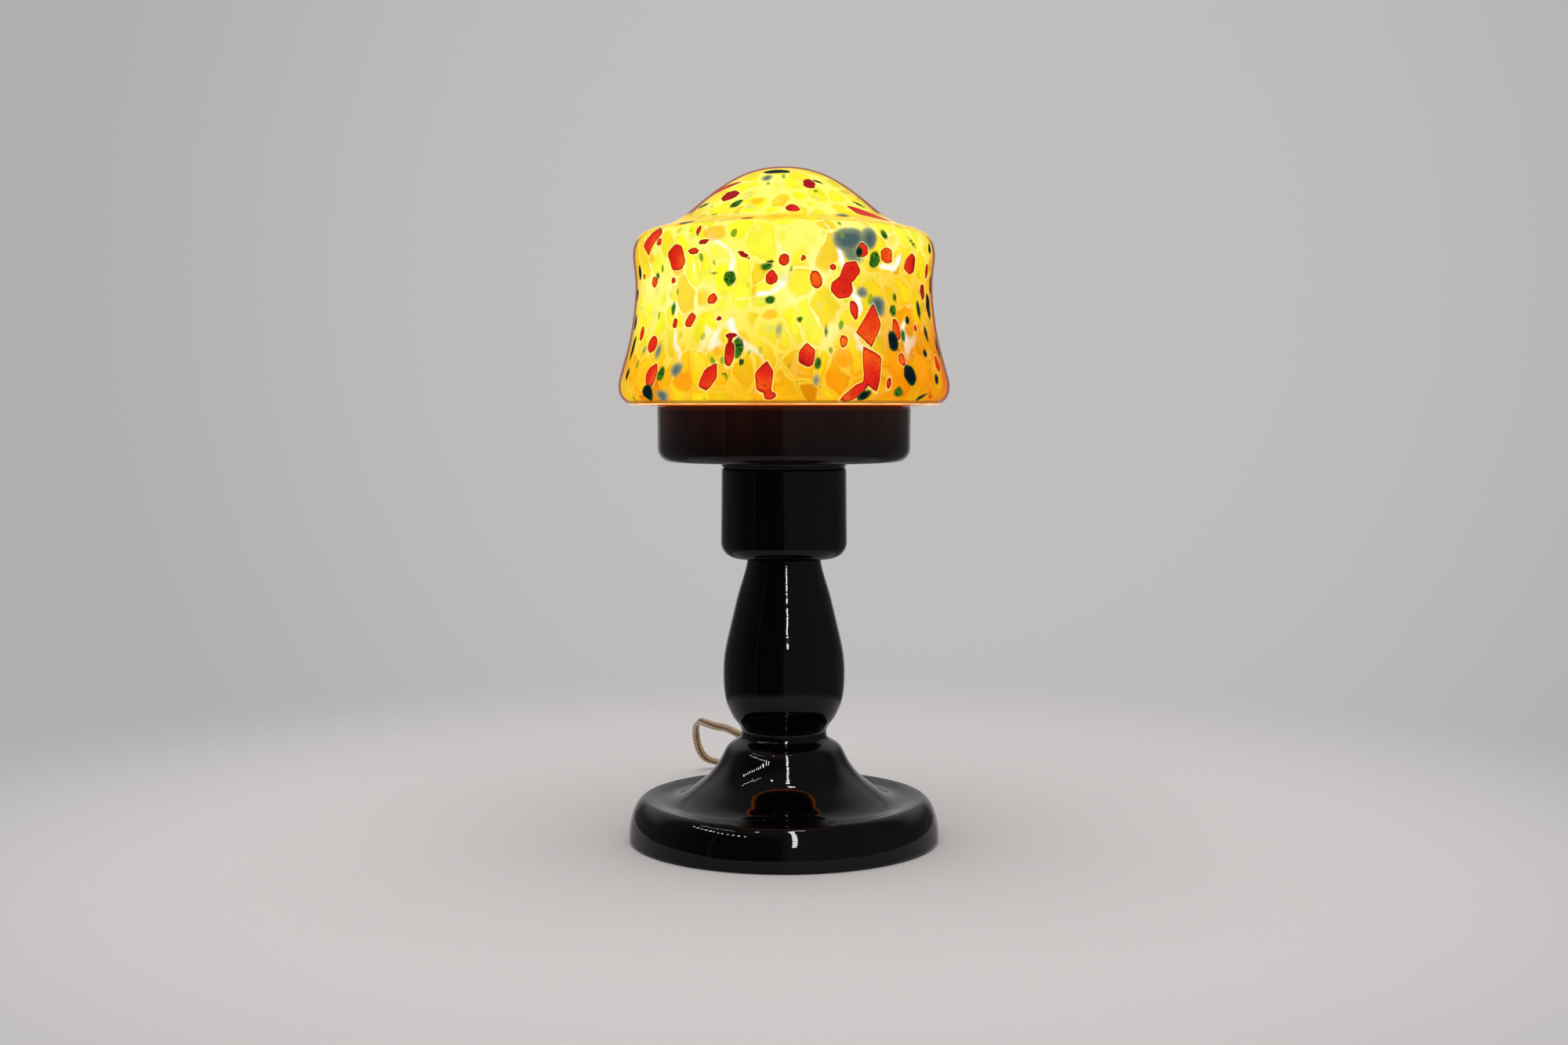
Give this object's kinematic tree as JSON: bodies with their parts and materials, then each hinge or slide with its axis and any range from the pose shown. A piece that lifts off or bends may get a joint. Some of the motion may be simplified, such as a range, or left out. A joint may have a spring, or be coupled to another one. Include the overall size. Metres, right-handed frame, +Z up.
{
  "type": "table lamp",
  "caption": "Glass table lamp: black glass foot, turned column and cups under a lit spatter glass shade, with an inline rocker switch and plug on a flat flex.",
  "frame": {"origin": "centre of the foot's underside, on the surface that the lamp stands on", "axes": "+Z up along the column, +Y towards the back, where the flex comes out"},
  "size_m": [0.2028, 0.3362, 0.4117],
  "materials": {
    "black_glass": "glossy black moulded glass",
    "cup_glass": "glossy black glass, dark red-brown where light comes through",
    "spatter_glass": "yellow spatter glass with red, green and blue-grey blotches",
    "bulb_glass": "frosted",
    "stem_glass": "clear",
    "filament": "coated filament rods",
    "plated_steel": "zinc plated",
    "cap_metal": "rolled cap",
    "brass": "plain brass",
    "black_rubber": "matt",
    "holder_plastic": "moulded thermoset",
    "porcelain": null,
    "flex": "translucent gold-tan insulation",
    "brown_plastic": "dark brown moulded",
    "tie": "soft white band"
  },
  "bodies": {
    "base": {"foot": "black_glass", "neck_gasket": "black_rubber", "baluster": "black_glass", "baluster_top_gasket": "black_rubber", "socket_cup": "black_glass", "gallery_gasket": "black_rubber", "gallery_cup": "cup_glass", "stem_tube": "plated_steel", "bottom_gasket": "black_rubber", "dished_washer": "plated_steel", "bottom_nut": "plated_steel", "upper_gasket": "black_rubber", "upper_washer": "plated_steel", "upper_nut": "plated_steel", "holder_cap": "holder_plastic", "holder_grub_screw": "plated_steel", "holder_shell": "holder_plastic", "holder_insert": "porcelain", "holder_terminals": "brass", "holder_screw_shell": "brass", "holder_centre_contact": "brass", "lower_clamp_ring": "holder_plastic", "upper_clamp_ring": "holder_plastic", "cord_strain_relief": "black_rubber", "inner_lead": "flex", "cord_lamp_to_switch": "flex", "cord_switch_to_coil": "flex", "cord_coil": "flex", "cord_coil_to_plug": "flex", "coil_tie": "tie", "switch_lower_housing": "brown_plastic", "switch_upper_housing": "brown_plastic", "switch_rocker_pin": "plated_steel", "switch_terminals": "brass", "switch_screws": "plated_steel", "plug_body": "brown_plastic", "plug_pins": "brass", "plug_pin_sleeves": "holder_plastic"},
    "shade": {"glass_shade": "spatter_glass"},
    "bulb_contact": {"bulb_contact": "plated_steel"},
    "bulb": {"bulb_insulator": "holder_plastic", "bulb_cap": "cap_metal", "bulb_glass": "bulb_glass", "bulb_stem": "stem_glass", "bulb_filaments": "filament"},
    "switch_rocker": {"switch_rocker": "brown_plastic", "switch_moving_contact": "brass"}
  },
  "joints": [
    {"name": "shade_lift", "type": "slide", "parent": "base", "child": "shade", "axis": [0, 0, 1], "range_m": [0, 0.15]},
    {"name": "bulb_rise", "type": "slide", "parent": "base", "child": "bulb_contact", "axis": [0, 0, 1], "range_m": [0, 0.0165]},
    {"name": "bulb_turn", "type": "hinge", "parent": "bulb_contact", "child": "bulb", "pos_m": [0, 0, 0.25], "axis": [0, 0, 1], "range_deg": [0, 1620]},
    {"name": "switch_tip", "type": "hinge", "parent": "base", "child": "switch_rocker", "pos_m": [0.0049, 0.2147, 0.0114], "axis": [0.4226, 0.9063, 0], "range_deg": [0, 14]}
  ],
  "couplings": [
    {"joint": "bulb_rise", "follows": "bulb_turn", "m_per_rad": 0.00057757}
  ]
}
